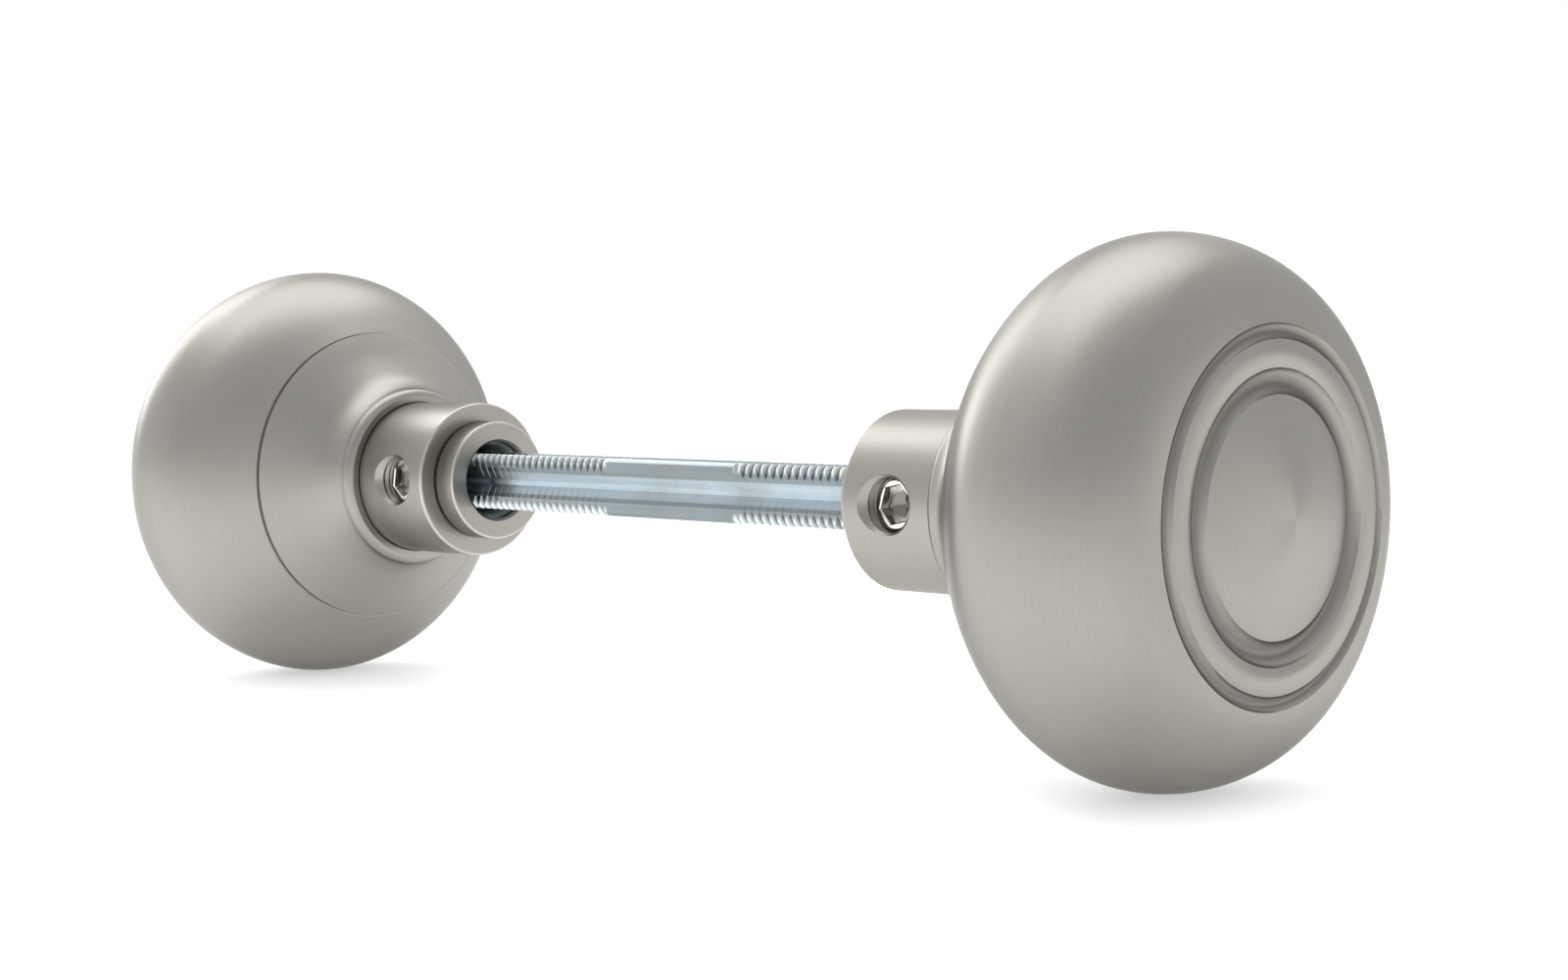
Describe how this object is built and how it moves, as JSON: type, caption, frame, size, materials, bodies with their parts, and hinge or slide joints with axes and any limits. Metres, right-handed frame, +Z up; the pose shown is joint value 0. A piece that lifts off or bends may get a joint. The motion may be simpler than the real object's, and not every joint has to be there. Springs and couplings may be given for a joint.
{
  "type": "door knob pair with threaded spindle",
  "caption": "Pair of round door knobs with ringed faces and plain necks, screwed onto a square spindle with threaded corners and locked by set screws.",
  "frame": {"origin": "on the spindle's axis, midway between the two shank shoulders", "axes": "+X along the spindle from the left knob to the right knob, +Z up, set screws towards -Y"},
  "size_m": [0.1792, 0.0572, 0.0572],
  "materials": {
    "satin_nickel": "satin brushed nickel plate on pressed and turned brass",
    "zinc_plated_steel": "bright zinc plate with a bluish tone",
    "bright_screw": "bright nickel plate, dark inside the hex socket",
    "plain_steel": "plain bright steel, out of sight inside the heads"
  },
  "bodies": {
    "spindle": {"spindle": "zinc_plated_steel"},
    "left_carrier": {"left_plain_washer": "plain_steel"},
    "left_knob": {"left_outer_shell": "satin_nickel", "left_back_cap": "satin_nickel", "left_stiffening_ring": "plain_steel", "left_shank": "satin_nickel", "left_thread_insert": "zinc_plated_steel", "left_lock_washer": "plain_steel", "left_shank_nut": "plain_steel", "left_drive_pins": "plain_steel"},
    "left_grub": {"left_set_screw": "bright_screw"},
    "right_carrier": {"right_plain_washer": "plain_steel"},
    "right_knob": {"right_outer_shell": "satin_nickel", "right_back_cap": "satin_nickel", "right_stiffening_ring": "plain_steel", "right_shank": "satin_nickel", "right_thread_insert": "zinc_plated_steel", "right_lock_washer": "plain_steel", "right_shank_nut": "plain_steel", "right_drive_pins": "plain_steel"},
    "right_grub": {"right_set_screw": "bright_screw"}
  },
  "joints": [
    {"name": "left_knob_travel", "type": "slide", "parent": "spindle", "child": "left_carrier", "axis": [1, 0, 0], "range_m": [-0.0153, 0.0229]},
    {"name": "left_knob_turn", "type": "hinge", "parent": "left_carrier", "child": "left_knob", "pos_m": [-0.038, 0, 0], "axis": [1, 0, 0], "range_deg": [-4320, 6480]},
    {"name": "left_set_screw_travel", "type": "slide", "parent": "left_knob", "child": "left_grub", "axis": [0, -1, 0], "range_m": [-0.0015, 0.005]},
    {"name": "right_knob_travel", "type": "slide", "parent": "spindle", "child": "right_carrier", "axis": [1, 0, 0], "range_m": [-0.0229, 0.0153]},
    {"name": "right_knob_turn", "type": "hinge", "parent": "right_carrier", "child": "right_knob", "pos_m": [0.038, 0, 0], "axis": [1, 0, 0], "range_deg": [-6480, 4320]},
    {"name": "right_set_screw_travel", "type": "slide", "parent": "right_knob", "child": "right_grub", "axis": [0, -1, 0], "range_m": [-0.0015, 0.005]}
  ],
  "couplings": [
    {"joint": "left_knob_travel", "follows": "left_knob_turn", "m_per_rad": 0.00020213},
    {"joint": "right_knob_travel", "follows": "right_knob_turn", "m_per_rad": 0.00020213}
  ]
}
